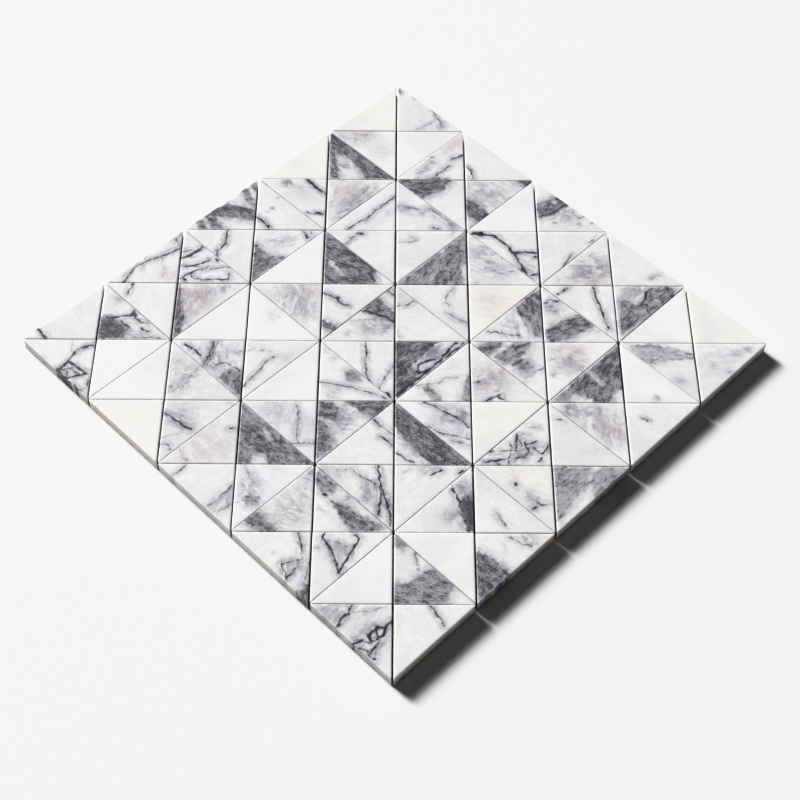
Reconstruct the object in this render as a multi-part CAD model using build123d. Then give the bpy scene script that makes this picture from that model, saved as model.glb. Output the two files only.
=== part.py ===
# Marble mosaic sheet: right-angled triangles of sawn stone, hand set on a glass-fibre net.
# Millimetres, +Z up. The sheet lies flat with its edges along X and Y, and the origin is at the
# centre of its underside. Four triangles make a quartered square, and the squares tile the sheet.

from build123d import *
from math import atan, degrees, radians, sin, sqrt, tan
from random import Random
import os

# Layout of the sheet
module = 61.0  # pitch of the quartered squares
squares_across = 5  # quartered squares along each edge of the sheet
wide_leg_joint = 1.05  # open joint along one diagonal of a quartered square
narrow_leg_joint = 0.5  # open joint along the other diagonal
long_joint = 0.4  # open joint along the long sides, between squares

# One triangle
stone_thickness = 7.6
thickness_spread = 0.12  # how far a sawn stone may be over or under its thickness
arris = 0.25  # eased edge round the honed face
tip_flat = 0.02  # width left of a blunted sharp corner on the honed face, inside the eased edge

# Hand setting, as shares of the narrowest joint that a stone may wander by
shift_share = 0.28
twist_share = 0.12
setting_seed = 12

# Glass-fibre net glued to the backs
mesh_size = 5.0  # about the pitch of the strands, evened out over the net
strand_width = 1.0
strand_thickness = 0.2
net_margin = 1.0  # how far the net is cut back from the edge of the outer stones

# Derived sizes
sheet_size = module * squares_across - long_joint
net_size = sheet_size - 2 * net_margin
net_thickness = 2 * strand_thickness
half_module = module / 2
strand_spaces = round((net_size - strand_width) / mesh_size)
strand_pitch = (net_size - strand_width) / strand_spaces
leg_joint = (wide_leg_joint + narrow_leg_joint) / 2
leg_slide = (wide_leg_joint - narrow_leg_joint) / (2 * sqrt(2))  # along the long side, to share the joints out
tightest = min(long_joint, wide_leg_joint, narrow_leg_joint)
setting_shift = shift_share * tightest
setting_twist = degrees(atan(twist_share * tightest / half_module))

# Upright corners are cut off by this much along each side. At a sharp corner of 45 degrees the eased
# edge narrows the cut by 2 * tan(33.75 degrees) times the arris, so the cut grows with it.
tip_cut = (2 * arris * tan(radians(33.75)) + tip_flat) / (2 * sin(radians(22.5)))


def triangle_outline():
    """Plan of one stone in a square centred on the origin: right angle at the centre, long side at -Y."""
    apex = (0, -leg_joint / sqrt(2))
    long_side = -half_module + long_joint / 2
    tip = half_module - long_joint / 2 - leg_joint / sqrt(2)
    plan = make_face(Polyline(apex, (-tip, long_side), (tip, long_side), close=True))
    return chamfer(plan.vertices(), tip_cut)


def stone(outline, thickness):
    """One triangle of stone, sawn square below and eased round its honed face."""
    block = extrude(outline, thickness)
    honed_edges = block.faces().sort_by(Axis.Z)[-1].edges()
    return chamfer(honed_edges, arris)


def set_by_hand(piece, centre, quarter, chance):
    """Lays a stone on the net in one quarter of its square, slid along, a little shifted and twisted."""
    middle = piece.center()
    twist = Rot(0, 0, chance.uniform(-setting_twist, setting_twist))
    wander = Pos(chance.uniform(-setting_shift, setting_shift), chance.uniform(-setting_shift, setting_shift))
    slide = Pos(-leg_slide if quarter % 2 else leg_slide, 0)
    in_place = Pos(middle.X, middle.Y) * slide * wander * twist * Pos(-middle.X, -middle.Y) * piece
    return Pos(*centre, net_thickness) * Rot(0, 0, 90 * quarter) * in_place


def quartered_square(row, column, outline, chance):
    """The four stones of one square, long sides outwards."""
    middle = (squares_across - 1) / 2
    centre = ((column - middle) * module, (row - middle) * module)
    stones = []
    for quarter in range(4):
        thickness = stone_thickness + chance.uniform(-thickness_spread, thickness_spread)
        stones.append(set_by_hand(stone(outline, thickness), centre, quarter, chance))
    return stones


def net_strands():
    """Flat parallel strands of the net along X, centred on the sheet, at the level of the floor."""
    strand = extrude(Rectangle(net_size, strand_width), strand_thickness)
    first = -strand_spaces * strand_pitch / 2
    return [Pos(0, first + n * strand_pitch) * strand for n in range(strand_spaces + 1)]


def save(name, solids):
    export_step(Compound(label=name, children=solids), f"parts/{name}.step")


os.makedirs("parts", exist_ok=True)
chance = Random(setting_seed)
outline = triangle_outline()
for row in range(squares_across):
    for column in range(squares_across):
        save(f"triangles_row{row + 1}_col{column + 1}", quartered_square(row, column, outline, chance))

# The lower strands run along X, and the upper ones lie across them along Y.
lower_strands = net_strands()
save("net_strands_x", lower_strands)
save("net_strands_y", [Pos(0, 0, strand_thickness) * Rot(0, 0, 90) * strand for strand in lower_strands])
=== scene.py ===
from math import cos, radians, sin
import bpy
import numpy as np
from mathutils import Matrix, Vector


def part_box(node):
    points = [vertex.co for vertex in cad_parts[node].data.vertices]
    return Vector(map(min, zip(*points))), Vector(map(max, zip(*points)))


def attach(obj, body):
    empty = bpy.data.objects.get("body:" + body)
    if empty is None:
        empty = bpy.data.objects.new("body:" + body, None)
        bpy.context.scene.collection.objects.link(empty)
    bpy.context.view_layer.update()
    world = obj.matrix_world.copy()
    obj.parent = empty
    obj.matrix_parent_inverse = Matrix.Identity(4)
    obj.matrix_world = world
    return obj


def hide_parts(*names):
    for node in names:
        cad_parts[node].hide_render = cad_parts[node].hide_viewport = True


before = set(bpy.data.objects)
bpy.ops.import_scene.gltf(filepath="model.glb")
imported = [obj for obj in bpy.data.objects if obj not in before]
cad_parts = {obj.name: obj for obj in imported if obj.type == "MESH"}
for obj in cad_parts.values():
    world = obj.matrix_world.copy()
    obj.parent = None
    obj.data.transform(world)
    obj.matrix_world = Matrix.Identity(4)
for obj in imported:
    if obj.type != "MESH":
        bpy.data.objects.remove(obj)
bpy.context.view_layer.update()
mm = 0.001

# The sheet is read in diagonal steps: "across" runs along one diagonal, to the right in the picture, and
# "down" along the other, towards the viewer. One step is half the diagonal of a quartered square.
sheet = {"squaresAcross": 5, "middleDown": 5, "partsOfStep": 100}


# The node of a square, with rows and columns counted from 1
def nodeName(row, column):
    return f"triangles_row{row + 1}_col{column + 1}"


# (lowest corner + highest corner) / 2 of a node
def boxMiddle(node):
    low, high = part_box(node)
    return np.array((low + high) / 2)


# The vertices of a node, one row each
def nodePoints(node):
    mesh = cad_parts[node].data
    flat = np.empty(len(mesh.vertices) * 3, np.float32)
    mesh.vertices.foreach_get("co", flat)
    return flat.reshape(-1, 3).astype(float)


lastSquare = sheet["squaresAcross"] - 1
squarePitch = (boxMiddle(nodeName(0, lastSquare))[0] - boxMiddle(nodeName(0, 0))[0]) / lastSquare
halfPitch = squarePitch / 2


# X = half pitch * (across + 5 - down), Y = half pitch * (5 - down - across)
def onSheet(points):
    across, down = np.asarray(points, float).T / sheet["partsOfStep"]
    middle = sheet["middleDown"]
    return halfPitch * np.stack((across + middle - down, middle - down - across), axis=1)


# Pitch * (steps from the middle square), along X by column and along Y by row
def squareMiddle(row, column):
    return squarePitch * (np.array((column, row)) - lastSquare / 2)


# Quarter of a square by direction from its middle: 0 towards -Y, 1 towards +X, 2 towards +Y, 3 towards -X
def quarterOf(offset):
    turn = np.arctan2(offset[..., 1], offset[..., 0]) + np.pi / 2
    return np.round(turn / (np.pi / 2)).astype(int) % 4


# (row, column, quarter) of the stone that a mark belongs to, by the mean of its points
def stoneAt(points):
    middle = onSheet(points).mean(axis=0)
    column, row = np.clip(np.round(middle / squarePitch + lastSquare / 2), 0, lastSquare).astype(int)
    return int(row), int(column), int(quarterOf(middle - squareMiddle(row, column)))


print("sheet read: squares", round(squarePitch / mm, 2), "mm apart")


# Marks of the stones. Each stone was sawn from another place in the block, so a mark ends at its stone.
# All points are (across, down) in hundredths of a step.
# Veins: (darkness, width in mm, points)
veins = [
    (0.8, 0.9, [(4, 10), (5, 18)]), (0.65, 1.2, [(54, 55), (62, 73), (67, 87)]),
    (0.5, 1.1, [(60, 77), (32, 95)]), (0.9, 1.7, [(81, 157), (98, 150)]),
    (0.8, 1.3, [(53, 196), (77, 173)]), (0.7, 1.1, [(32, 196), (74, 197)]),
    (0.95, 1.3, [(102, 172), (109, 180), (112, 196)]), (1, 2.4, [(-128, 201), (-117, 216), (-103, 229)]),
    (0.6, 1.1, [(-127, 267), (-103, 270)]), (0.85, 2.2, [(-114, 267), (-104, 269)]),
    (1, 1.7, [(-200, 275), (-189, 283), (-179, 297)]),
    (0.75, 1.1, [(0, 232), (-28, 260), (-43, 280), (-50, 281), (-69, 298)]),
    (0.4, 1.5, [(3, 251), (28, 258), (43, 271)]), (0.4, 1.5, [(49, 257), (63, 271), (77, 282), (83, 296)]),
    (0.9, 1.8, [(53, 294), (59, 296)]), (0.6, 0.8, [(119, 280), (113, 282), (108, 289)]),
    (0.5, 1.2, [(238, 264), (247, 271)]), (0.5, 1.2, [(252, 262), (261, 274), (269, 270)]),
    (0.8, 1.3, [(247, 247), (231, 258), (220, 265), (205, 272)]),
    (0.9, 1.2, [(-374, 399), (-366, 380), (-359, 370), (-349, 361), (-329, 353), (-304, 337)]),
    (0.35, 0.9, [(-348, 349), (-351, 377)]), (0.35, 1.3, [(-326, 354), (-321, 372), (-322, 390)]),
    (0.75, 1, [(-304, 310), (-309, 320), (-303, 333)]),
    (1, 1.2, [(-238, 301), (-239, 327), (-249, 340), (-250, 347)]), (0.8, 2, [(-250, 355), (-248, 359)]),
    (1, 2.3, [(-300, 354), (-287, 350), (-278, 341), (-270, 333)]), (0.8, 1, [(-299, 341), (-278, 339)]),
    (1, 1.2, [(-299, 368), (-287, 370), (-273, 366), (-260, 358)]),
    (1, 1.2, [(-300, 393), (-287, 384), (-276, 377), (-262, 373)]), (0.9, 1, [(-256, 374), (-231, 371)]),
    (0.9, 1.1, [(-284, 384), (-278, 393), (-231, 393), (-231, 383)]), (1, 2.2, [(-292, 393), (-290, 394)]),
    (0.8, 1.6, [(-131, 302), (-127, 309), (-123, 316)]), (0.6, 1.3, [(-120, 303), (-118, 309)]),
    (0.75, 1.3, [(-69, 326), (-63, 317), (-56, 309)]), (0.85, 1.7, [(-55, 307), (-46, 306)]),
    (0.4, 1.8, [(6, 321), (18, 323), (30, 319)]), (0.35, 1.8, [(22, 311), (32, 314)]),
    (1, 4.2, [(110, 305), (120, 305)]), (1, 1.7, [(120, 307), (139, 308)]),
    (1, 1.7, [(139, 308), (150, 320), (159, 330), (163, 339)]), (1, 2.1, [(163, 340), (199, 340)]),
    (1, 1.6, [(167, 344), (175, 363), (178, 372), (183, 383), (191, 395)]),
    (1, 2.1, [(177, 371), (179, 375)]), (0.95, 1.7, [(183, 382), (198, 380)]),
    (0.9, 1.8, [(195, 348), (197, 348)]), (0.4, 1.3, [(119, 361), (128, 370), (146, 379), (168, 372)]),
    (0.4, 1.3, [(110, 396), (114, 396)]), (0.6, 1.7, [(247, 343), (241, 352), (234, 365)]),
    (0.5, 1.6, [(272, 322), (280, 314)]), (0.4, 1.1, [(272, 343), (267, 354)]),
    (0.45, 1.1, [(252, 384), (276, 387)]), (0.5, 1.1, [(293, 377), (299, 375)]),
    (0.8, 1.8, [(355, 387), (360, 383)]), (0.6, 1.6, [(364, 381), (367, 381)]),
    (0.9, 1.5, [(-32, 373), (-37, 380), (-29, 393)]), (0.6, 2, [(-50, 354), (-34, 371)]),
    (1, 2.4, [(-482, 481), (-476, 489), (-468, 498)]), (0.85, 1.4, [(-361, 402), (-367, 419)]),
    (0.9, 1.5, [(-384, 463), (-370, 460), (-358, 458), (-353, 450)]), (1, 2.6, [(-354, 455), (-352, 461)]),
    (0.5, 9, [(-391, 475), (-385, 487), (-375, 488)]), (0.8, 1.4, [(-372, 466), (-366, 474), (-358, 478)]),
    (0.8, 1.4, [(-351, 462), (-344, 470), (-336, 471)]), (0.8, 1.8, [(-342, 480), (-333, 487)]),
    (0.6, 1.6, [(-355, 496), (-315, 497)]), (0.9, 1.3, [(-98, 416), (-81, 426), (-72, 436), (-63, 439)]),
    (0.9, 2, [(-80, 425), (-78, 427)]), (0.3, 1.1, [(-61, 441), (-63, 457)]),
    (0.7, 0.9, [(-98, 466), (-81, 477), (-84, 481), (-97, 474)]),
    (1, 1.4, [(-43, 447), (-28, 453), (-12, 458), (-3, 466)]),
    (0.9, 1.3, [(-6, 408), (-9, 414), (-2, 418)]), (0.7, 1.1, [(-20, 430), (-6, 446)]),
    (0.4, 1.5, [(-61, 464), (-28, 463)]), (0.75, 1.3, [(3, 439), (14, 437), (26, 430)]),
    (0.5, 0.9, [(2, 486), (7, 493)]), (0.65, 0.9, [(79, 406), (74, 414), (69, 423), (70, 432), (72, 437)]),
    (0.7, 1, [(72, 450), (83, 460), (97, 467)]),
    (0.55, 1.9, [(124, 483), (136, 483), (154, 488), (168, 489)]),
    (0.7, 1.1, [(166, 439), (170, 454), (178, 472)]), (0.75, 2.4, [(238, 403), (232, 409), (223, 416)]),
    (0.85, 1.2, [(273, 403), (275, 419), (281, 441), (285, 463), (289, 476)]),
    (0.7, 1.6, [(205, 432), (213, 426), (223, 428)]), (0.6, 1.6, [(216, 446), (218, 446)]),
    (0.5, 1.4, [(211, 437), (213, 439)]), (0.35, 1.3, [(263, 477), (276, 483)]),
    (0.9, 1.5, [(341, 426), (345, 412), (352, 404)]), (0.6, 1.4, [(310, 430), (320, 445), (310, 460)]),
    (0.6, 1.4, [(320, 445), (331, 456), (324, 464)]), (0.6, 1.3, [(312, 476), (322, 462)]),
    (0.6, 1.3, [(360, 410), (380, 405)]), (0.6, 1.3, [(350, 425), (362, 420), (370, 412)]),
    (0.7, 1.1, [(329, 437), (336, 436), (341, 426)]), (0.7, 1.1, [(345, 447), (343, 435), (336, 433)]),
    (0.35, 1.3, [(-137, 437), (-138, 455)]),
    (0.95, 1.4, [(-403, 509), (-420, 516), (-429, 526), (-432, 537)]),
    (0.35, 1, [(-431, 501), (-432, 526)]),
    (1, 1.7, [(-432, 538), (-446, 552), (-433, 566), (-407, 558), (-432, 538)]),
    (0.9, 1.2, [(-440, 552), (-422, 547)]), (0.9, 1.2, [(-430, 550), (-416, 558)]),
    (0.8, 1, [(-432, 543), (-433, 563)]), (0.8, 1, [(-433, 566), (-420, 578), (-411, 586)]),
    (0.7, 0.9, [(-404, 557), (-402, 590)]), (0.6, 0.9, [(-413, 584), (-404, 583)]),
    (0.5, 1.4, [(-468, 531), (-466, 531)]), (0.8, 1.8, [(-280, 507), (-267, 517), (-258, 527)]),
    (0.8, 0.9, [(-241, 502), (-249, 530), (-253, 543)]),
    (0.8, 0.9, [(-236, 502), (-244, 528), (-249, 543)]), (0.7, 0.9, [(-249, 527), (-231, 526)]),
    (0.8, 1.1, [(-238, 542), (-224, 538), (-213, 546), (-204, 552)]), (0.6, 1, [(-213, 520), (-203, 519)]),
    (0.3, 1.7, [(-264, 554), (-289, 588)]), (0.5, 1.3, [(-295, 578), (-293, 578)]),
    (0.5, 1.3, [(-288, 537), (-286, 537)]), (0.35, 1.5, [(-198, 517), (-184, 516), (-164, 519)]),
    (0.65, 1.3, [(-199, 577), (-180, 552), (-171, 537), (-160, 526)]),
    (0.8, 1.1, [(-39, 501), (-38, 521), (-39, 541), (-37, 559), (-32, 567)]),
    (0.75, 1, [(-2, 543), (-12, 559), (-19, 572), (-20, 580)]),
    (0.95, 1.6, [(-13, 585), (-8, 588), (-5, 593)]),
    (0.7, 1.2, [(-98, 570), (-81, 572), (-59, 577), (-43, 583), (-23, 589)]),
    (0.8, 1.4, [(-16, 593), (-12, 596)]), (0.5, 1.8, [(-90, 514), (-88, 514)]),
    (0.45, 1.8, [(-82, 530), (-80, 530)]),
    (1, 1.8, [(81, 503), (74, 512), (66, 523), (59, 534), (43, 549), (30, 553)]),
    (1, 1.6, [(92, 503), (68, 526)]), (0.9, 1.2, [(30, 552), (32, 539), (46, 532), (54, 531)]),
    (1, 2.2, [(50, 544), (25, 568), (4, 590)]),
    (0.45, 1.1, [(28, 574), (46, 571), (59, 570), (66, 561), (81, 561)]),
    (0.3, 1.3, [(72, 541), (88, 546)]), (1, 1.5, [(121, 599), (127, 593), (137, 589)]),
    (0.9, 1.4, [(134, 590), (141, 596)]), (1, 2, [(110, 566), (110, 568)]),
    (0.6, 1.5, [(182, 550), (197, 544)]), (0.5, 1.5, [(330, 506), (342, 505), (356, 508)]),
    (0.5, 1.6, [(338, 534), (350, 527)]), (0.5, 1.4, [(387, 518), (399, 520)]),
    (0.5, 1.3, [(421, 538), (423, 538)]), (0.5, 1.3, [(442, 548), (444, 548)]),
    (0.95, 1.4, [(-299, 620), (-272, 640), (-261, 647)]),
    (0.35, 1.5, [(-299, 661), (-287, 656), (-276, 654)]), (0.4, 1.1, [(-216, 604), (-212, 604)]),
    (0.6, 1.4, [(-299, 669), (-288, 671), (-286, 678)]),
    (0.45, 1.1, [(-273, 679), (-270, 689), (-262, 696)]), (0.8, 1.8, [(-211, 645), (-205, 645)]),
    (0.7, 1, [(-127, 606), (-124, 626), (-126, 646), (-123, 666)]),
    (0.7, 1, [(-130, 668), (-123, 667), (-103, 667)]), (0.5, 1.1, [(-66, 646), (-59, 634)]),
    (0.4, 1.6, [(-55, 619), (-53, 619)]), (0.85, 1.1, [(-26, 629), (-19, 639), (-2, 652)]),
    (0.8, 1.1, [(-17, 656), (-1, 670)]),
    (0.75, 1.3, [(37, 601), (54, 608), (63, 616), (77, 623), (86, 630), (97, 641)]),
    (0.6, 1.2, [(41, 639), (63, 652), (86, 657), (97, 659)]), (0.5, 1.1, [(72, 661), (97, 670)]),
    (0.55, 2, [(2, 682), (12, 689), (26, 697)]), (0.5, 1.3, [(7, 658), (9, 658)]),
    (0.85, 1, [(123, 679), (148, 677), (157, 676)]),
    (0.9, 1, [(148, 664), (150, 673), (146, 689), (144, 699)]),
    (1, 1.3, [(158, 650), (157, 663), (156, 676)]), (0.9, 1, [(161, 660), (163, 671)]),
    (0.95, 1.3, [(114, 694), (128, 693), (146, 689)]), (0.8, 1, [(126, 694), (134, 699)]),
    (1, 1.2, [(154, 689), (165, 687), (173, 679), (169, 671), (167, 664)]),
    (0.6, 1, [(172, 639), (187, 640)]), (0.9, 1.2, [(167, 668), (174, 666), (182, 663)]),
    (1, 1.4, [(178, 672), (184, 680), (189, 682), (194, 674), (199, 667)]),
    (0.8, 1, [(188, 687), (184, 694)]), (0.6, 1, [(165, 651), (172, 650)]),
    (0.65, 1.4, [(207, 627), (218, 629)]), (0.35, 1.6, [(255, 677), (257, 677)]),
    (0.95, 1.8, [(323, 625), (327, 628)]), (0.6, 1.1, [(-264, 702), (-269, 711), (-279, 719)]),
    (0.75, 1.2, [(-203, 733), (-209, 741), (-230, 763)]),
    (0.6, 1, [(-204, 761), (-210, 767), (-220, 772)]),
    (0.35, 2.4, [(-190, 702), (-182, 716), (-180, 733), (-180, 749)]),
    (0.4, 1.3, [(-197, 758), (-185, 755), (-170, 755)]),
    (0.95, 1.3, [(-20, 702), (-17, 727), (-16, 749), (-19, 776)]),
    (0.95, 1.3, [(-17, 727), (-10, 753), (-4, 776), (-4, 791)]),
    (0.6, 1.4, [(-52, 708), (-41, 718), (-23, 729)]), (0.4, 1.3, [(-63, 708), (-50, 704)]),
    (0.9, 1.8, [(-87, 744), (-84, 746)]), (0.3, 1.1, [(-94, 764), (-86, 769), (-74, 769)]),
    (0.5, 1.6, [(-85, 745), (-72, 760), (-60, 778)]), (0.85, 1.6, [(46, 715), (52, 712), (60, 708)]),
    (0.85, 1.8, [(83, 711), (87, 709)]), (0.3, 1.5, [(8, 720), (20, 704)]),
    (0.85, 1.6, [(74, 736), (83, 756)]), (0.5, 6, [(92, 757), (95, 785)]),
    (0.4, 1.3, [(88, 733), (97, 729)]), (0.85, 1.6, [(152, 727), (154, 730)]),
    (0.4, 1.3, [(150, 709), (158, 716)]), (0.85, 1.7, [(172, 765), (177, 761)]),
    (0.65, 1.5, [(178, 753), (183, 760), (193, 757)]), (0.65, 1.7, [(126, 770), (132, 780), (139, 789)]),
    (0.85, 1.1, [(-117, 801), (-112, 820), (-110, 839), (-136, 846)]),
    (0.85, 1, [(-136, 846), (-130, 859), (-128, 867)]), (0.8, 1, [(-128, 867), (-116, 848)]),
    (0.5, 1.1, [(-101, 842), (-106, 864), (-107, 878)]),
    (0.95, 1.3, [(-84, 802), (-88, 810), (-83, 813), (-74, 829), (-69, 844), (-66, 858)]),
    (1, 1.3, [(-41, 809), (-48, 822), (-59, 844), (-66, 858)]), (0.9, 1.4, [(-48, 804), (-41, 809)]),
    (0.5, 1.1, [(-81, 811), (-68, 816), (-54, 822)]), (0.5, 0.9, [(-83, 815), (-76, 835), (-70, 846)]),
    (0.5, 1.3, [(-94, 822), (-92, 822)]), (0.45, 2.6, [(26, 829), (29, 842), (31, 854)]),
    (0.65, 1.6, [(144, 806), (159, 816), (170, 819)]), (0.25, 1.3, [(135, 815), (137, 830)]),
    (1, 1.6, [(-49, 901), (-52, 913), (-59, 918), (-66, 931)]),
    (0.6, 1, [(-48, 911), (-28, 910), (-12, 904)]),
    (1, 1.8, [(-2, 924), (-10, 931), (-19, 931), (-28, 940), (-26, 949)]),
    (1, 1.5, [(-6, 929), (-12, 942), (-26, 953), (-34, 949), (-46, 953)]),
    (0.8, 1.1, [(-46, 949), (-34, 947)]), (0.9, 1.4, [(-14, 947), (-23, 960), (-28, 968)]),
    (1, 1.6, [(-20, 933), (-16, 950)]), (0.9, 1.4, [(-40, 958), (-28, 962)]),
    (0.8, 1.1, [(-28, 968), (-21, 974), (-19, 964)]), (0.75, 1, [(46, 902), (54, 916), (61, 930)]),
]

# Violet-grey patches: (darkness, corners)
patches = [
    (0.85, [(-98, 107), (-63, 133), (-28, 173), (-6, 196), (-43, 196), (-50, 180), (-63, 160), (-72, 151),
            (-86, 147), (-97, 138)]),
    (0.7, [(-98, 142), (-92, 142), (-85, 196), (-93, 196)]),
    (0.85, [(-268, 273), (-256, 260), (-238, 253), (-227, 256), (-204, 262), (-204, 279), (-229, 274),
            (-249, 273)]),
    (0.6, [(-223, 220), (-217, 220), (-208, 238), (-203, 250), (-205, 256), (-214, 242)]),
    (0.6, [(-209, 209), (-204, 207), (-202, 224), (-205, 224)]),
    (0.8, [(-282, 284), (-276, 286), (-270, 296), (-276, 297)]),
    (0.8, [(-268, 278), (-260, 277), (-247, 297), (-258, 297)]),
    (0.85, [(6, 201), (77, 202), (66, 218), (39, 233), (21, 219)]),
    (0.85, [(102, 239), (117, 251), (130, 267), (119, 280), (108, 271), (103, 262)]),
    (0.95, [(178, 200), (197, 200), (188, 211)]),
    (0.7, [(204, 247), (218, 241), (232, 231), (248, 246), (236, 256), (225, 266), (205, 272), (204, 260)]),
    (0.65, [(-198, 325), (-190, 338), (-175, 350), (-157, 352), (-162, 360), (-178, 370), (-190, 386),
            (-198, 393)]),
    (0.76, [(-98, 302), (-28, 370), (-30, 383), (-28, 398), (-98, 398)]),
    (0.64, [(6, 398), (25, 378), (50, 354), (60, 342), (68, 345), (72, 335), (75, 328), (98, 305),
            (98, 360), (88, 365), (90, 375), (93, 398)]),
    (1, [(-400, 464), (-384, 463), (-376, 472), (-362, 483), (-367, 494), (-399, 497)]),
    (0.85, [(-300, 403), (-296, 410), (-293, 440), (-287, 461), (-293, 486), (-300, 494)]),
    (0.75, [(-37, 439), (-23, 426), (-14, 441), (-3, 452), (-3, 466), (-28, 454), (-43, 448)]),
    (0.7, [(-98, 466), (-81, 477), (-84, 481), (-98, 475)]),
    (0.7, [(184, 419), (199, 410), (199, 486), (189, 488), (185, 468), (178, 459), (169, 450), (167, 441),
           (174, 432)]),
    (0.7, [(205, 479), (227, 466), (251, 452), (267, 469), (263, 474), (247, 483), (229, 494), (209, 499),
           (205, 486)]),
    (0.65, [(307, 428), (318, 428), (329, 437), (341, 426), (345, 412), (349, 406), (365, 403), (381, 403),
            (383, 414), (349, 448), (307, 483), (306, 463), (309, 446)]),
    (0.48, [(-64, 553), (-56, 550), (-45, 560), (-46, 567), (-62, 565)]),
    (0.7, [(-228, 563), (-220, 552), (-204, 554), (-203, 592), (-213, 581)]),
    (1, [(2, 502), (54, 501), (39, 519), (21, 537), (19, 546), (30, 552), (22, 568), (3, 592)]),
    (0.55, [(38, 577), (44, 575), (54, 588), (59, 598), (52, 598), (47, 590)]),
    (0.55, [(97, 560), (90, 597), (98, 597)]),
    (0.75, [(113, 512), (122, 503), (142, 503), (134, 514), (125, 521)]),
    (0.6, [(136, 526), (150, 512), (162, 503), (180, 503), (172, 520), (158, 533), (145, 536)]),
    (0.6, [(156, 538), (164, 528), (178, 532), (182, 542), (168, 546)]),
    (0.78, [(267, 541), (281, 526), (299, 508), (299, 577), (289, 577), (283, 592), (281, 599), (267, 599),
            (254, 590), (229, 581), (232, 572), (254, 552)]),
    (0.6, [(212, 597), (222, 584), (230, 584), (228, 597)]),
    (0.4, [(318, 506), (343, 504), (372, 510), (396, 519), (396, 526), (369, 528), (352, 532), (341, 539),
           (329, 528), (318, 514)]),
    (0.75, [(-198, 608), (-106, 697), (-158, 698), (-162, 682), (-182, 683), (-184, 697), (-198, 697)]),
    (0.8, [(-98, 603), (-85, 603), (-75, 612), (-75, 630), (-85, 627), (-98, 625)]),
    (0.75, [(-98, 630), (-88, 642), (-80, 662), (-82, 675), (-98, 688)]),
    (0.75, [(-63, 601), (-6, 601), (-15, 613), (-28, 625), (-37, 620), (-47, 610)]),
    (0.95, [(3, 605), (97, 697), (52, 698), (39, 687), (21, 667), (2, 639)]),
    (0.5, [(-187, 750), (-178, 746), (-169, 750), (-169, 760), (-180, 762)]),
    (0.9, [(-183, 783), (-173, 772), (-166, 775), (-160, 786), (-146, 797), (-162, 797), (-170, 792)]),
    (0.6, [(-96, 712), (-85, 720), (-72, 733), (-78, 742), (-90, 738), (-97, 728)]),
    (0.65, [(-74, 760), (-62, 760), (-50, 772), (-35, 780), (-15, 793), (-20, 797), (-50, 797),
            (-60, 785)]),
    (0.95, [(84, 756), (92, 748), (98, 746), (98, 796), (94, 796), (88, 780)]),
    (0.52, [(203, 703), (248, 703), (242, 730), (227, 745), (210, 775), (204, 780)]),
    (0.52, [(265, 703), (295, 704), (275, 725), (253, 745), (250, 730), (252, 712)]),
    (0.95, [(-103, 876), (-108, 885), (-114, 886), (-102, 895)]),
    (0.65, [(1, 873), (19, 874), (30, 864), (39, 856), (48, 852), (72, 874), (66, 884), (63, 898), (3, 899),
            (1, 890)]),
    (0.45, [(3, 808), (15, 818), (12, 824), (4, 820)]),
    (0.9, [(103, 829), (121, 840), (139, 858), (106, 889), (102, 880)]),
]

# Light crystals left inside the patches: (strength, width in mm, points)
inclusions = [
    (0.9, 3.4, [(-90, 361), (-74, 383)]), (0.6, 2.4, [(-168, 352), (-160, 360)]),
    (0.8, 2.6, [(-168, 645), (-158, 662)]), (0.6, 5, [(-191, 628)]), (0.8, 3, [(227, 242), (229, 244)]),
    (0.6, 2.6, [(354, 423), (360, 427)]), (0.6, 2, [(337, 446), (339, 446)]),
    (0.9, 3.4, [(258, 550), (272, 570)]), (0.5, 2.4, [(49, 390), (57, 376)]),
    (0.7, 1.4, [(92, 342), (93, 343)]),
]

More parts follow.
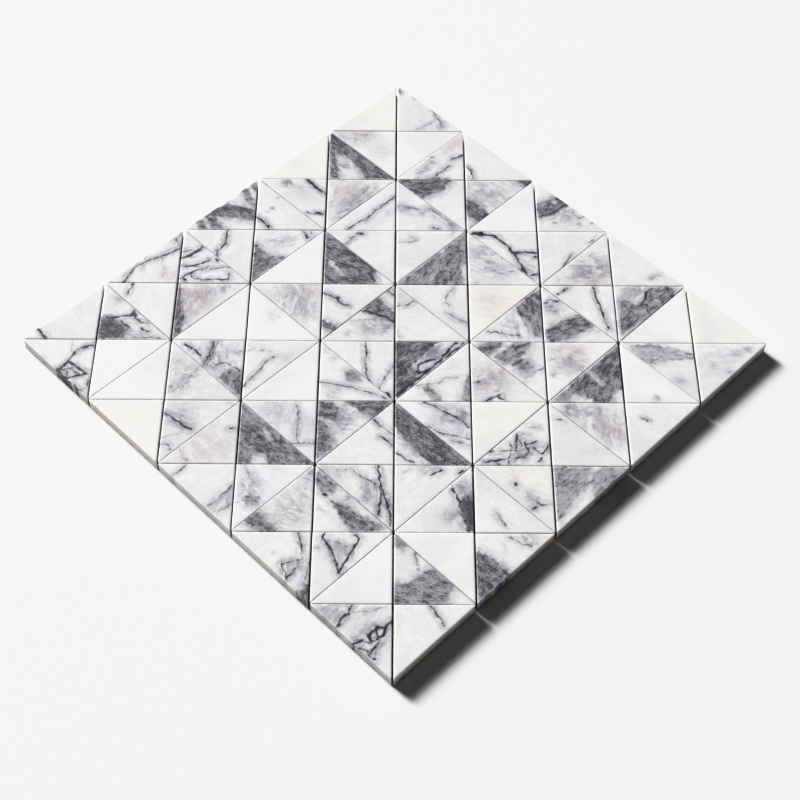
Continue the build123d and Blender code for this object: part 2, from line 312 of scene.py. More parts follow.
# Lilac clouds: (strength, radius in mm, points)
clouds = [
    (0.4, 4, [(66, 87)]), (0.5, 1.3, [(27, 30)]), (0.3, 5, [(-80, 106), (-59, 116), (-43, 109)]),
    (0.12, 9, [(-23, 140)]), (0.4, 4, [(-74, 173)]), (0.35, 4, [(52, 167), (37, 187)]),
    (0.6, 1.6, [(52, 154)]), (0.5, 4, [(-157, 207)]), (0.12, 6, [(-135, 220)]), (0.5, 1.5, [(-168, 236)]),
    (0.5, 1.5, [(-176, 259), (-182, 263)]), (0.23, 18, [(-65, 230)]),
    (0.32, 5, [(-37, 222), (-66, 251), (-81, 271)]), (0.15, 3, [(-10, 265)]), (0.26, 15, [(138, 230)]),
    (0.2, 7, [(115, 220)]), (0.35, 6, [(240, 270)]), (0.5, 1.8, [(261, 287)]), (0.4, 2, [(225, 282)]),
    (0.5, 1.6, [(280, 282)]), (0.28, 5, [(-172, 320), (-150, 324)]), (0.2, 3, [(-60, 312)]),
    (0.15, 3, [(25, 315)]), (0.15, 3, [(80, 305)]), (0.32, 4, [(6, 255), (32, 262)]),
    (0.32, 4.5, [(50, 258), (70, 278), (82, 293)]), (0.32, 11, [(125, 342)]), (0.2, 9, [(145, 370)]),
    (0.3, 6, [(180, 370)]), (0.4, 7, [(260, 370), (285, 362)]), (0.3, 10, [(272, 378)]),
    (0.2, 6, [(235, 385)]), (0.3, 5, [(-344, 483)]), (0.3, 4, [(-379, 428)]), (0.3, 9, [(-270, 425)]),
    (0.35, 3, [(-255, 416), (-230, 408)]), (0.29, 13, [(-138, 422)]), (0.27, 8, [(-122, 445)]),
    (0.14, 5, [(-165, 456)]), (0.4, 8, [(-30, 472)]), (0.5, 3, [(-12, 479)]), (0.45, 2, [(-63, 486)]),
    (0.1, 5, [(8, 425)]), (0.3, 8, [(160, 475)]), (0.4, 4, [(332, 406)]), (0.35, 5, [(320, 415)]),
    (0.3, 6, [(215, 440)]), (0.35, 10, [(-240, 530)]), (0.18, 12, [(-280, 560)]),
    (0.26, 3.5, [(-262, 552), (-275, 570), (-290, 588)]), (0.5, 4, [(-57, 559)]), (0.4, 4, [(-79, 586)]),
    (0.6, 6, [(50, 520)]), (0.2, 6, [(132, 561)]), (0.22, 12, [(125, 568)]), (0.35, 5, [(175, 555)]),
    (0.4, 10, [(230, 530)]), (0.5, 2.5, [(223, 532)]), (0.5, 2, [(247, 546)]), (0.4, 2, [(210, 555)]),
    (0.35, 4, [(376, 567)]), (0.3, 2.5, [(343, 592)]), (0.25, 4, [(456, 517)]), (0.3, 3, [(472, 510)]),
    (0.1, 10, [(430, 525)]), (0.3, 8, [(-275, 630)]), (0.08, 12, [(-240, 675)]), (0.22, 9, [(-155, 618)]),
    (0.12, 8, [(-115, 635)]), (0.35, 8, [(-70, 628)]), (0.35, 8, [(70, 625)]), (0.5, 4, [(88, 620)]),
    (0.35, 5, [(80, 655)]), (0.25, 8, [(160, 680)]), (0.27, 13, [(262, 632)]),
    (0.25, 6, [(230, 610), (260, 612)]), (0.27, 8, [(282, 652)]), (0.5, 4, [(227, 614)]),
    (0.35, 5, [(-210, 755)]), (0.35, 6, [(-180, 730)]), (0.2, 12, [(-130, 765)]), (0.28, 4, [(-122, 775)]),
    (0.5, 4, [(-106, 717)]), (0.22, 5, [(-112, 742)]), (0.4, 5, [(-28, 731), (-37, 750)]),
    (0.4, 5, [(-10, 755)]), (0.25, 5, [(-60, 750)]), (0.2, 4, [(-85, 708), (-70, 712)]),
    (0.35, 5, [(43, 705)]), (0.45, 5, [(85, 735)]), (0.35, 5, [(70, 776)]), (0.3, 4, [(172, 746)]),
    (0.25, 6, [(-120, 850)]), (0.3, 1.5, [(-145, 830)]), (0.35, 6, [(-65, 822)]), (0.4, 4, [(6, 813)]),
    (0.3, 5, [(165, 808)]), (0.4, 7, [(-75, 910)]), (0.3, 8, [(-25, 940)]),
]

# Pink blushes: (strength, radius in mm, points)
blushes = [
    (0.6, 5, [(92, 120), (74, 136)]), (0.35, 8, [(-65, 110)]), (0.3, 15, [(-68, 230)]),
    (0.5, 6, [(-311, 386)]), (0.6, 10, [(-270, 425)]), (0.8, 2.5, [(-267, 421)]),
    (0.8, 2.5, [(-270, 454), (-282, 450)]), (0.4, 8, [(-125, 415)]), (0.4, 14, [(130, 430)]),
    (0.5, 4, [(-145, 527)]), (0.4, 10, [(125, 565)]), (0.6, 3, [(142, 547)]), (0.6, 10, [(270, 387)]),
    (0.45, 12, [(235, 525)]), (0.7, 3, [(249, 514)]), (0.45, 10, [(275, 642)]), (0.35, 18, [(-240, 675)]),
    (0.3, 9, [(-130, 775)]), (0.3, 5, [(180, 805)]), (0.6, 2.5, [(26, 554)]), (0.3, 8, [(-60, 910)]),
    (0.3, 6, [(320, 412)]),
]

# Stones that are creamier or bluer than the rest, each by a point on it
creamStones = [
    (-30, 70), (-130, 170), (-330, 630), (130, 630), (230, 670), (170, 730), (430, 470), (130, 430),
]
blueStones = [
    (-30, 270), (-270, 370), (-170, 330), (170, 470), (-230, 530), (70, 630), (-130, 630), (-170, 730),
]


# Every mark, sorted into the stone that it belongs to
def sortedMarks():
    sorting = {}
    kinds = {
        "veins": veins, "patches": patches, "inclusions": inclusions, "clouds": clouds, "blushes": blushes,
    }
    for kind, marks in kinds.items():
        for mark in marks:
            own = sorting.setdefault(stoneAt(mark[-1]), {})
            own.setdefault(kind, []).append(mark)
    return sorting


marksOf = sortedMarks()
creams = {stoneAt([place]) for place in creamStones}
blues = {stoneAt([place]) for place in blueStones}
print("marks sorted:", len(veins), "veins,", len(patches), "patches, on", len(marksOf), "stones")


wandering = {"waves": 8, "sizes": (0.7, 1.5), "divisor": 4}  # sizes as shares of the one asked for


# Smooth chance field: sine waves of about one size, in seeded directions, added up to about -1 to 1
def wander(points, size, seed):
    chance = np.random.default_rng(seed)
    count = wandering["waves"]
    turns = chance.uniform(0, 2 * np.pi, count)
    waves = 2 * np.pi / (size * chance.uniform(*wandering["sizes"], count))
    starts = chance.uniform(0, 2 * np.pi, count)
    along = points[:, :1] * np.cos(turns) + points[:, 1:2] * np.sin(turns)
    return np.sin(along * waves + starts).sum(axis=1) / wandering["divisor"]


# Distance from each point to the nearest of the line pieces between the stations
def distanceToLine(points, stations):
    if len(stations) == 1:
        return np.linalg.norm(points - stations[0], axis=1)
    begin = stations[:-1]
    run = stations[1:] - begin
    share = ((points[:, None] - begin) * run).sum(axis=2) / (run * run).sum(axis=1)
    nearest = begin + np.clip(share, 0, 1)[..., None] * run
    return np.linalg.norm(points[:, None] - nearest, axis=2).min(axis=1)


# Distance to a closed outline, above zero inside it: a point is inside where a ray to +X crosses an odd
# number of sides
def depthInOutline(points, corners):
    ends = np.roll(corners, -1, axis=0)
    x, y = points[:, :1], points[:, 1:2]
    spans = (corners[:, 1] > y) != (ends[:, 1] > y)
    rise = np.where(ends[:, 1] == corners[:, 1], 1, ends[:, 1] - corners[:, 1])
    crossing = corners[:, 0] + (y - corners[:, 1]) * (ends[:, 0] - corners[:, 0]) / rise
    inside = (spans & (x < crossing)).sum(axis=1) % 2 == 1
    distance = distanceToLine(points, np.vstack((corners, corners[:1])))
    return np.where(inside, distance, -distance)


# A ramp from 0 below the first value to 1 above the second, eased at both ends
def easedRamp(values, low, high):
    share = np.clip((values - low) / (high - low), 0, 1)
    return share * share * (3 - 2 * share)


marking = {
    "veinWander": 0.4 * mm, "veinWanderSize": 5 * mm,  # how far a vein strays from its points
    "veinJitter": 0.14 * mm, "veinJitterSize": 1.6 * mm,
    "veinCore": 0.44, "veinSwell": 0.4,  # half width as a share of the width, and how much it varies
    "patchWander": 0.7 * mm, "patchWanderSize": 4 * mm, "patchOut": 2.6 * mm, "patchIn": 0.5 * mm,
    "smokeWidth": 5 * mm, "smokeShare": 0.7,  # smoke round each patch
    "haloWidth": 3.2 * mm, "haloShare": 0.65,  # bluish shade along each vein
    "veil": 0.09,  # faint smoke all over a stone that has veins or patches
    "cloudGain": 2.0, "blushGain": 0.9,
    "driftMean": 0.8, "driftSwing": 0.2, "driftSize": 6 * mm,  # clouds and blushes come and go by this
    "stretch": 1.9,  # the cloudy pattern is drawn out along the veins
}


# Four fields over a stone's vertices, each 0 to 1: vein, patch, cloud and blush. A vein is
# darkness * exp(-(distance / half width) squared), a patch ramps up over its frayed outline, and clouds and
# blushes fall off round their points as veins do. Darker marks win, and soft ones add up as veils do.
def markFields(points, own, seed):
    fields = np.zeros((len(points), 4))
    stray = np.stack([wander(points, marking["veinWanderSize"], seed + k) for k in (1, 2)], axis=1)
    jitter = np.stack([wander(points, marking["veinJitterSize"], seed + k) for k in (7, 8)], axis=1)
    strayed = points + marking["veinWander"] * stray + marking["veinJitter"] * jitter
    swell = marking["veinSwell"] * wander(points, marking["veinWanderSize"], seed + 3)
    thickness = marking["veinCore"] * (1 + swell)
    drift = marking["driftMean"] + marking["driftSwing"] * wander(points, marking["driftSize"], seed + 4)
    fray = marking["patchWander"] * wander(points, marking["patchWanderSize"], seed + 5)
    if "veins" in own or "patches" in own:
        fields[:, 2] = marking["veil"]
    for darkness, corners in own.get("patches", []):
        depth = depthInOutline(points, onSheet(corners)) + fray
        patch = darkness * easedRamp(depth, -marking["patchOut"], marking["patchIn"])
        outside = np.minimum(depth, 0) / marking["smokeWidth"]
        smoke = marking["smokeShare"] * darkness * np.exp(-outside ** 2)
        fields[:, 1] = np.maximum(fields[:, 1], patch)
        fields[:, 2] = np.maximum(fields[:, 2], smoke)
    for strength, width, places in own.get("inclusions", []):
        away = distanceToLine(strayed, onSheet(places)) / (width * mm / 2)
        fields[:, 1] *= 1 - strength * np.exp(-away ** 2)
    for darkness, width, places in own.get("veins", []):
        distance = distanceToLine(strayed, onSheet(places))
        vein = darkness * np.exp(-(distance / (width * mm * thickness)) ** 2)
        halo = marking["haloShare"] * darkness * np.exp(-(distance / marking["haloWidth"]) ** 2)
        fields[:, 0] = np.maximum(fields[:, 0], vein)
        fields[:, 2] = np.maximum(fields[:, 2], halo)
    for channel, kind, gain in ((2, "clouds", "cloudGain"), (3, "blushes", "blushGain")):
        for strength, radius, places in own.get(kind, []):
            away = distanceToLine(strayed, onSheet(places)) / (radius * mm)
            puff = marking[gain] * strength * drift * np.exp(-away ** 2)
            fields[:, channel] = 1 - (1 - fields[:, channel]) * (1 - puff)
    return np.clip(fields, 0, 1)


# Place of each point in the quarry block: turned so that the stone's marks lie along the first axis, drawn
# out along it, and moved to a spot of its own. The lie of the marks is the mean of the doubled angles of
# their steps, each counted by its length. A stone without marks keeps the tiny first step.
def quarryPlaces(points, own, chance):
    doubled = 1e-6 * np.exp(2j * chance.uniform(0, np.pi))
    for mark in own.get("veins", []) + own.get("patches", []):
        steps = np.diff(onSheet(mark[-1]), axis=0)
        steps = steps[:, 0] + 1j * steps[:, 1]
        doubled += (steps ** 2 / np.abs(steps)).sum()
    turned = (points[:, 0] + 1j * points[:, 1]) * np.exp(-0.5j * np.angle(doubled))
    inBlock = np.stack((turned.real / marking["stretch"], turned.imag, points[:, 2]), axis=1)
    return inBlock + chance.uniform(-1, 1, 3)


# Linear colour of an sRGB hex: c / 12.92 for dark channels, else ((c + 0.055) / 1.055) to the power of 2.4
def linear(hexColour):
    channels = np.array([int(hexColour[k:k + 2], 16) for k in (0, 2, 4)]) / 255
    channels = np.where(channels <= 0.04045, channels / 12.92, ((channels + 0.055) / 1.055) ** 2.4)
    return (*channels.tolist(), 1.0)


# Adds one node and gives its outputs: settings are its properties, inputs are values or outputs to link
def addNode(tree, kind, settings=None, inputs=None):
    node = tree.nodes.new(kind)
    for key, value in (settings or {}).items():
        setattr(node, key, value)
    for key, value in (inputs or {}).items():
        if isinstance(value, bpy.types.NodeSocket):
            tree.links.new(value, node.inputs[key])
        else:
            node.inputs[key].default_value = value
    return node.outputs


# An empty node material and its tree
def newMaterial(name):
    material = bpy.data.materials.new(name)
    material.use_nodes = True
    material.node_tree.nodes.clear()
    return material, material.node_tree


# Ends a tree with the surface shader
def finishMaterial(tree, inputs):
    shader = addNode(tree, "ShaderNodeBsdfPrincipled", None, inputs)
    addNode(tree, "ShaderNodeOutputMaterial", None, {"Surface": shader["BSDF"]})


marbleFinish = {
    "colours": {
        "coolWhite": "F1F2F3", "warmWhite": "F2F0EC", "shade": "DADADF", "lilac": "9090A0",
        "pink": "C4ADAF", "patchDark": "423F47", "patchPale": "AAA7B1", "slate": "5F5F6B", "vein": "2E2D36",
        "sawn": "C6BEB4",  # the sawn sides are dulled by this, and more towards the net, where the darkening is painted shade in the joints
    },
    "roughness": 0.4, "sawnRoughness": 0.85, "ior": 1.49,  # calcite
    "glow": 1.0, "glowTint": (1.0, 0.94, 0.86), "glowReach": 2.0 * mm,  # how far light strays in the stone
    # size in mm, detail, roughness and distortion of each cloudy noise
    "noises": ((22, 3, 0.5, 0), (6, 5, 0.62, 0.8), (2.4, 6, 0.72, 0)),
    "grain": (0.8, 2, 0.6),  # size in mm, detail and roughness, coarser than the crystals so that it shows
    "bump": 0.25, "bumpDepth": 0.02 * mm,
}


# White marble with violet-grey breccia veins, sawn and honed: a matt crystalline face with a faint sheen
# that light strays into, granular dark patches with smoky edges, and thin dark veins with a bluish shade
# along them.
def honedMarble():
    finish = marbleFinish
    colours = {name: linear(value) for name, value in finish["colours"].items()}
    material, tree = newMaterial("honedBrecciaMarble")
    marks, warmth, sawn, quarry = [
        addNode(tree, "ShaderNodeAttribute", {"attribute_name": name})
        for name in ("markings", "warmth", "sawn", "quarryPlace")
    ]
    split = addNode(tree, "ShaderNodeSeparateColor", None, {"Color": marks["Color"]})
    vein, patch, cloud, blush = split["Red"], split["Green"], split["Blue"], marks["Alpha"]
    place = addNode(tree, "ShaderNodeTexCoord")["Object"]
    drift, smoke, mottle = [
        addNode(tree, "ShaderNodeTexNoise", None, {
            "Vector": quarry["Vector"], "Scale": 1 / (size * mm), "Detail": detail,
            "Roughness": roughness, "Distortion": distortion,
        })["Fac"]
        for size, detail, roughness, distortion in finish["noises"]
    ]
    size, detail, roughness = finish["grain"]
    grain = addNode(tree, "ShaderNodeTexNoise", None, {
        "Vector": place, "Scale": 1 / (size * mm), "Detail": detail, "Roughness": roughness,
    })["Fac"]

    # weighted sums: a start, then the values and their weights
    sums = []
    for total, parts in (
        (0, ((smoke, 0.4), (mottle, 0.4), (grain, 0.2))),
        (-0.43, ((mottle, 1), (smoke, 0.4), (grain, 0.6), (patch, -0.12))),
        (1.1, ((mottle, -1.2), (smoke, -0.6), (grain, -0.2), (patch, 1))),
        (-0.5, ((smoke, 1),)),
    ):
        for value, weight in parts:
            inputs = {0: value, 1: weight, 2: total}
            total = addNode(tree, "ShaderNodeMath", {"operation": "MULTIPLY_ADD"}, inputs)[0]
        sums.append(total)
    specks, tone, frayed, ridge = sums
    ridge = addNode(tree, "ShaderNodeMath", {"operation": "ABSOLUTE"}, {0: ridge})[0]

    # eased ramps: (value, from, to, least, most)
    eased = {"interpolation_type": "SMOOTHSTEP"}
    shaded, gathered, blushed, toned, torn, begun, fading, threads, rough = [
        addNode(tree, "ShaderNodeMapRange", eased, dict(enumerate(values)))[0]
        for values in (
            (drift, 0.42, 0.7, 0, 0.4), (specks, 0.4, 0.64, 0.35, 1.7), (specks, 0.4, 0.6, 0.3, 1.3),
            (tone, 0.34, 0.68, 0, 1), (frayed, 0.12, 0.95, 0, 1), (patch, 0.02, 0.25, 0, 1),
            (mottle, 0.32, 0.66, 0.45, 1.4), (ridge, 0, 0.05, 0.6, 0),
            (sawn["Fac"], 0, 1, finish["roughness"], finish["sawnRoughness"]),
        )
    ]
    clouded, pink, patched, veined, threaded = [
        addNode(tree, "ShaderNodeMath", {"operation": "MULTIPLY"}, {0: share, 1: thick})[0]
        for share, thick in (
            (cloud, gathered), (blush, blushed), (torn, begun), (vein, fading), (cloud, threads),
        )
    ]
    veined = addNode(tree, "ShaderNodeMapRange", eased, {0: veined, 1: 0.08, 2: 0.8})[0]

    # the marks are laid over the white one by one, and last the sawn sides are dulled, darker towards the
    # net as painted shade in the joints
    blend = {"data_type": "RGBA", "clamp_factor": True}
    patchColour = addNode(tree, "ShaderNodeMix", blend, {
        0: toned, 6: colours["patchDark"], 7: colours["patchPale"],
    })[2]
    colour = colours["coolWhite"]
    for share, over, way in (
        (warmth["Fac"], colours["warmWhite"], "MIX"), (shaded, colours["shade"], "MIX"),
        (clouded, colours["lilac"], "MIX"), (pink, colours["pink"], "MIX"),
        (threaded, colours["slate"], "MIX"), (patched, patchColour, "MIX"),
        (veined, colours["vein"], "MIX"), (sawn["Fac"], colours["sawn"], "MULTIPLY"),
    ):
        inputs = {0: share, 6: colour, 7: over}
        colour = addNode(tree, "ShaderNodeMix", {**blend, "blend_type": way}, inputs)[2]
    bump = addNode(tree, "ShaderNodeBump", None, {
        "Strength": finish["bump"], "Distance": finish["bumpDepth"], "Height": grain,
    })
    finishMaterial(tree, {
        "Base Color": colour, "Roughness": rough, "IOR": finish["ior"], "Normal": bump["Normal"],
        "Subsurface Weight": finish["glow"], "Subsurface Radius": finish["glowTint"],
        "Subsurface Scale": finish["glowReach"],
    })
    return material


netFinish = {
    "glass": "E8E9E6", "roughness": 0.55, "ior": 1.52,
    "yarnTwist": 0.5, "twistScale": 0.3,  # mm, and the scale of the wave for a twist of one
    "bump": 0.3, "bumpDepth": 0.05 * mm,
}


# Woven glass yarn dipped in white resin: flat, slightly shiny strands with a fine slant twist.
def glassYarn():
    material, tree = newMaterial("resinDippedGlassYarn")
    place = addNode(tree, "ShaderNodeTexCoord")["Object"]
    twist = addNode(tree, "ShaderNodeTexWave", {"bands_direction": "DIAGONAL"}, {
        "Vector": place, "Scale": netFinish["twistScale"] / (netFinish["yarnTwist"] * mm),
    })["Fac"]
    bump = addNode(tree, "ShaderNodeBump", None, {
        "Strength": netFinish["bump"], "Distance": netFinish["bumpDepth"], "Height": twist,
    })
    finishMaterial(tree, {
        "Base Color": linear(netFinish["glass"]), "Roughness": netFinish["roughness"],
        "IOR": netFinish["ior"], "Normal": bump["Normal"],
    })
    return material


stoneShape = {
    "steps": 76,  # lattice steps along each leg of the honed face, about half a millimetre each
    "easedEdge": 0.28 * mm, "easedTurns": (30, 60, 90),  # degrees round the eased edge
    "cornerTurns": 6, "nibble": 0.35, "nibbleSize": 4 * mm,  # how far the edge is worn back, as a share
    "wornFrom": 0.3, "wornTo": 1.2,  # the chance field between no wear and full wear
    "sawnEdge": 0.3,  # how sawn and shaded the lowest ring of the eased edge looks, where the sides reach 1 at the net; the darkening down the sides is painted shade
    "sharpAngle": 50,  # degrees between faces from which an edge is drawn sharp
    "underDepth": 0.05 * mm,  # points this near the lowest one belong to the underside
    "tints": (0.25, 0.6),  # warmth of a stone that is neither cream nor blue
    "quarters": 4, "seed": 40, "seedStep": 100,
}


# Where two lines meet, each given by a point and a direction
def meeting(point, run, otherPoint, otherRun):
    share = np.linalg.solve(np.stack((run, -otherRun), axis=1), otherPoint - point)
    return point + share[0] * run


# The three corners of the honed face, from a stone's outline on the net. The three longest sides are the
# sawn ones; each moves inwards by the eased edge, and the corners are where they meet.
def honedCorners(outline, inset):
    middle = outline.mean(axis=0)
    offsets = outline - middle
    ring = outline[np.argsort(np.arctan2(offsets[:, 1], offsets[:, 0]))]
    runs = np.roll(ring, -1, axis=0) - ring
    lengths = np.linalg.norm(runs, axis=1)
    sides = np.sort(np.argsort(lengths)[-3:])
    longest = int(np.argmax(lengths[sides]))
    sides = np.roll(sides, -longest)  # the long side first, then on counter-clockwise
    runs = runs[sides] / lengths[sides][:, None]
    inward = np.stack((-runs[:, 1], runs[:, 0]), axis=1)
    starts = ring[sides] + inset * inward
    pairs = ((1, 2), (2, 0), (0, 1))  # right angle, then the two sharp corners
    return np.array([meeting(starts[a], runs[a], starts[b], runs[b]) for a, b in pairs])


# The four stones of one node: (corners of the honed face, underside height, top height) by quarter
def stonesOf(row, column):
    points = nodePoints(nodeName(row, column))
    quarters = quarterOf(points[:, :2] - squareMiddle(row, column))
    stones = []
    for quarter in range(stoneShape["quarters"]):
        own = points[quarters == quarter]
        low, high = own[:, 2].min(), own[:, 2].max()
        under = np.unique(own[own[:, 2] < low + stoneShape["underDepth"]].round(6), axis=0)
        stones.append((honedCorners(under[:, :2], stoneShape["easedEdge"]), low, high))
    return stones


# Index of the lattice point (a, b), with a + b at most the number of steps, row after row of a
def latticeIndex(a, b, steps):
    return a * (steps + 1) - a * (a - 1) // 2 + b


# Triangles between the lattice points: one pointing on and one pointing back for each cell
def latticeFaces(steps):
    a, b = np.meshgrid(np.arange(steps), np.arange(steps), indexing="ij")
    on = a + b < steps
    back = a + b < steps - 1
    first = [latticeIndex(a[on] + da, b[on] + db, steps) for da, db in ((0, 0), (1, 0), (0, 1))]
    second = [latticeIndex(a[back] + da, b[back] + db, steps) for da, db in ((1, 0), (1, 1), (0, 1))]
    return np.vstack((np.stack(first, axis=1), np.stack(second, axis=1)))


# One stone: the honed face is a lattice, corner + a / n * leg + b / n * other leg. Round it runs a loop of
# outward directions that fan round the corners, and the eased edge is face edge + radius * (sin t outwards,
# cos t - 1 upwards). The sawn sides drop from there to the net, and a fan closes the underside.
def stoneSurface(corners, low, high, seed):
    steps = stoneShape["steps"]
    radius = stoneShape["easedEdge"]
    a, b = np.meshgrid(np.arange(steps + 1), np.arange(steps + 1), indexing="ij")
    held = a + b <= steps
    legs = corners[1:] - corners[0]
    face = corners[0] + a[held][:, None] / steps * legs[0] + b[held][:, None] / steps * legs[1]
    face = np.column_stack((face, np.full(len(face), high)))
    run = np.arange(1, steps)
    sideIndices = (
        latticeIndex(run, 0 * run, steps),
        latticeIndex(steps - run, run, steps),
        latticeIndex(0 * run, steps - run, steps),
    )
    cornerIndices = [latticeIndex(*spot, steps) for spot in ((steps, 0), (0, steps), (0, 0))]
    sides = np.roll(corners, -1, axis=0) - corners
    turns = np.unwrap(np.arctan2(-sides[:, 0], sides[:, 1]))
    fans = stoneShape["cornerTurns"]
    loop, directions = [], []
    for side in range(3):
        loop += [sideIndices[side], np.full(fans, cornerIndices[side])]
        nextTurn = turns[side] + (turns[(side + 1) % 3] - turns[side]) % (2 * np.pi)
        directions += [np.full(steps - 1, turns[side]), np.linspace(turns[side], nextTurn, fans)]
    loop, directions = np.concatenate(loop), np.concatenate(directions)
    outward = np.stack((np.cos(directions), np.sin(directions)), axis=1)
    edge = face[loop]
    wear = wander(edge[:, :2], stoneShape["nibbleSize"], seed)
    worn = easedRamp(wear, stoneShape["wornFrom"], stoneShape["wornTo"])
    reach = radius * (1 - stoneShape["nibble"] * worn)
    rings = []
    for turn in np.radians(stoneShape["easedTurns"]):
        out = edge[:, :2] + (reach * np.sin(turn))[:, None] * outward
        rings.append(np.column_stack((out, high - radius * (1 - np.cos(turn)) * np.ones(len(loop)))))
    rings.append(np.column_stack((rings[-1][:, :2], np.full(len(loop), low))))
    middle = np.append(corners.mean(axis=0), low)
    points = np.vstack((face, *rings, middle))
    # faces: the lattice, then strips from the loop down the rings, then the fan of the underside
    count = len(loop)
    upper = loop
    faces = [latticeFaces(steps)]
    for ring in range(len(rings)):
        lower = len(face) + ring * count + np.arange(count)
        upperNext, lowerNext = np.roll(upper, -1), np.roll(lower, -1)
        wide = upper != upperNext
        faces.append(np.stack((upper, lower, lowerNext), axis=1))
        faces.append(np.stack((upper[wide], lowerNext[wide], upperNext[wide]), axis=1))
        upper = lower
    faces.append(np.stack((upper, np.full(count, len(points) - 1), np.roll(upper, -1)), axis=1))
    # how dull each point is: 0 on the face, rising down the sides to 1 at the net, so the sides darken
    # downwards as painted shade in the joints
    sawn = np.zeros(len(points))
    sawn[len(face) + (len(rings) - 2) * count:] = stoneShape["sawnEdge"]
    sawn[len(face) + (len(rings) - 1) * count:] = 1
    return points, np.vstack(faces), sawn


# An object in the scene with the given mesh, light or camera
def newObject(name, data):
    thing = bpy.data.objects.new(name, data)
    bpy.context.scene.collection.objects.link(thing)
    return thing


# An object made of points and faces, in one material
def newSurface(name, points, faces, material):
    mesh = bpy.data.meshes.new(name)
    mesh.from_pydata(points, [], faces)
    mesh.materials.append(material)
    return newObject(name, mesh)


# A surface that rides a body and stands in for a node; the slot is not used
def newPiece(name, points, faces, material, body, node, slot):
    piece = newSurface(name, points, faces, material)
    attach(piece, body)
    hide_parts(node)
    return piece


# One value per vertex, for the material to read
def addAttribute(mesh, name, kind, field, values):
    attribute = mesh.attributes.new(name, kind, "POINT")
    attribute.data.foreach_set(field, np.ascontiguousarray(values, np.float32).ravel())


# The four stones of a quartered square as one piece, with their marks and their place in the quarry
def marbleSquare(row, column, material):
    square = row * sheet["squaresAcross"] + column
    chance = np.random.default_rng(stoneShape["seed"] + square)
    stones = []
    first = 0
    for quarter, (corners, low, high) in enumerate(stonesOf(row, column)):
        stone = (row, column, quarter)
        marks = marksOf.get(stone, {})
        seed = stoneShape["seedStep"] * (square * stoneShape["quarters"] + quarter)
        points, faces, sawn = stoneSurface(corners, low, high, seed)
        tint = chance.uniform(*stoneShape["tints"])
        tint = 1.0 if stone in creams else 0.0 if stone in blues else tint
        fields = markFields(points[:, :2], marks, seed)
        quarry = quarryPlaces(points, marks, chance)
        stones.append((points, faces + first, sawn, np.full(len(points), tint), fields, quarry))
        first += len(points)
    points, faces, sawn, warmth, fields, quarry = [np.concatenate(part) for part in zip(*stones)]
    piece = newPiece(f"marbleSquare_row{row + 1}_col{column + 1}", points, faces,
                     material, "root", nodeName(row, column), "marble")
    mesh = piece.data
    addAttribute(mesh, "markings", "FLOAT_COLOR", "color", fields)
    addAttribute(mesh, "warmth", "FLOAT", "value", warmth)
    addAttribute(mesh, "sawn", "FLOAT", "value", sawn)
    addAttribute(mesh, "quarryPlace", "FLOAT_VECTOR", "vector", quarry)
    mesh.shade_smooth()
    mesh.set_sharp_from_angle(angle=radians(stoneShape["sharpAngle"]))
    return len(faces)


marble = honedMarble()
triangles = 0
for row in range(sheet["squaresAcross"]):
    for column in range(sheet["squaresAcross"]):
        triangles += marbleSquare(row, column, marble)
print("stones made:", triangles, "triangles")


netShape = {"sides": 8}


# Strands of one direction: an oval, half width * cos t across and half thickness * sin t upwards, carried
# straight along each strand of the CAD net from end to end
def netStrands(node, along):
    low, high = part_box(node)
    across = 1 - along
    edges = np.unique(nodePoints(node)[:, across].round(6)).reshape(-1, 2)
    sides = netShape["sides"]
    turn = np.arange(sides) * 2 * np.pi / sides
    middle, half = edges.mean(axis=1), (edges[:, 1] - edges[:, 0]) / 2
    strands = len(edges)
    points = np.empty((strands, 2, sides, 3))
    points[..., along] = np.array((low[along], high[along]))[None, :, None]
    points[..., across] = middle[:, None, None] + half[:, None, None] * np.cos(turn)
    points[..., 2] = (low[2] + high[2]) / 2 + (high[2] - low[2]) / 2 * np.sin(turn)
    index = np.arange(strands * 2 * sides).reshape(strands, 2, sides)
    start, end = index[:, 0], index[:, 1]
    startNext, endNext = np.roll(start, -1, axis=1), np.roll(end, -1, axis=1)
    walls = np.stack((start, startNext, endNext, end), axis=2).reshape(-1, 4)
    caps = np.vstack((start[:, ::-1], end))
    if along == 1:  # the strand's own axes are mirrored, so its faces are turned round
        walls, caps = walls[:, ::-1], caps[:, ::-1]
    return points.reshape(-1, 3), walls.tolist() + caps.tolist()


yarn = glassYarn()
for along, letter in enumerate("xy"):
    node = f"net_strands_{letter}"
    newPiece(f"glassNet_{letter}", *netStrands(node, along), yarn, "root", node, "glass_net")
print("net made")


studio = {
    "floor": "EFEFF0", "floorRoughness": 0.9, "floorHalf": 30.0,  # metres
    "keyTowards": (-0.73, 0.683), "keyHeight": 28.5,  # degrees
    "keys": ((4.2, 11), (2.6, 24)),  # strength and spread in degrees: a bright middle and a soft rim
    "fill": "F2ECE6", "fillStrength": 0.04,
    "backdrop": "F5F5F5",  # seen past the end of the floor, and gives no light
}


# Picture axes in the sheet's frame: right along one diagonal and away along the other
right = Vector((1, -1, 0)).normalized()
away = Vector((1, 1, 0)).normalized()


# A matt board under the sheet, far wider than the view
def paleFloor():
    material, tree = newMaterial("mattPaleBoard")
    finishMaterial(tree, {"Base Color": linear(studio["floor"]), "Roughness": studio["floorRoughness"]})
    half = studio["floorHalf"]
    corners = [(-half, -half, 0), (half, -half, 0), (half, half, 0), (-half, half, 0)]
    floor = newSurface("floor", corners, [(0, 1, 2, 3)], material)


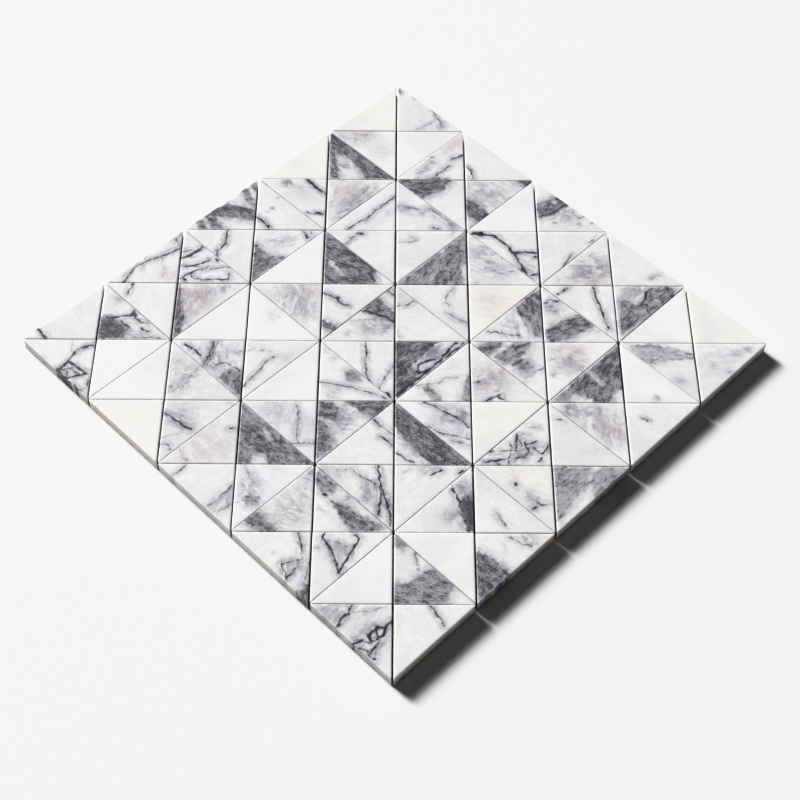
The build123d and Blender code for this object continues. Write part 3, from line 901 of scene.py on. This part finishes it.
# A weak fill all round, and suns that shine from cos height * sideways + sin height * up
def studioLight():
    world = bpy.data.worlds.new("softFill")
    world.use_nodes = True
    tree = world.node_tree
    tree.nodes.clear()
    fill = addNode(tree, "ShaderNodeBackground", None, {
        "Color": linear(studio["fill"]), "Strength": studio["fillStrength"],
    })
    wall = addNode(tree, "ShaderNodeBackground", None, {"Color": linear(studio["backdrop"])})
    seen = addNode(tree, "ShaderNodeLightPath")["Is Camera Ray"]
    shown = addNode(tree, "ShaderNodeMixShader", None, {0: seen, 1: fill[0], 2: wall[0]})
    addNode(tree, "ShaderNodeOutputWorld", None, {"Surface": shown[0]})
    bpy.context.scene.world = world
    height = radians(studio["keyHeight"])
    sideways = (studio["keyTowards"][0] * right + studio["keyTowards"][1] * away).normalized()
    towards = cos(height) * sideways + sin(height) * Vector((0, 0, 1))
    for strength, spread in studio["keys"]:
        key = bpy.data.lights.new("key", "SUN")
        key.energy = strength
        key.angle = radians(spread)
        lamp = newObject("key", key)
        lamp.matrix_world = towards.to_track_quat("Z", "Y").to_matrix().to_4x4()


paleFloor()
studioLight()


viewpoint = {
    "turn": -0.167, "height": 53.577, "roll": 0.505,  # degrees
    "distance": 888.24 * mm, "aim": (3.123 * mm, -42.24 * mm, 8 * mm),  # right, away and up
    "lens": 71.07, "sensor": 36,
}


# The camera looks back along (sin turn cos height, -cos turn cos height, sin height) in the picture axes,
# then rolls about that line.
def addCamera():
    turn, height, roll = [radians(viewpoint[key]) for key in ("turn", "height", "roll")]
    upright = Vector((0, 0, 1))
    back = sin(turn) * cos(height) * right - cos(turn) * cos(height) * away + sin(height) * upright
    level = cos(turn) * right + sin(turn) * away
    top = back.cross(level)
    rolledRight = cos(roll) * level + sin(roll) * top
    rolledUp = cos(roll) * top - sin(roll) * level
    aim = viewpoint["aim"][0] * right + viewpoint["aim"][1] * away + viewpoint["aim"][2] * upright
    pose = Matrix((rolledRight, rolledUp, back)).transposed().to_4x4()
    pose.translation = aim + viewpoint["distance"] * back
    lens = bpy.data.cameras.new("camera")
    lens.lens = viewpoint["lens"]
    lens.sensor_width = viewpoint["sensor"]
    camera = newObject("camera", lens)
    camera.matrix_world = pose
    bpy.context.scene.camera = camera


highlights = {"limit": 2.0, "white": 0.97, "bends": ((0.4, 0.4), (0.8, 0.8), (0.92, 0.9), (1.2, 0.94))}


# Highlights roll off as on a camera: brightness is kept up to the fourth fifth, then bends towards white
def softHighlights():
    view = bpy.context.scene.view_settings
    view.view_transform = "Standard"
    view.use_curve_mapping = True
    bend = view.curve_mapping
    bend.clip_max_x = highlights["limit"]
    curve = bend.curves[3]  # the combined curve
    curve.points[-1].location = (highlights["limit"], highlights["white"])
    for place in highlights["bends"]:
        curve.points.new(*place)
    bend.update()


addCamera()
softHighlights()
print("studio and camera set")
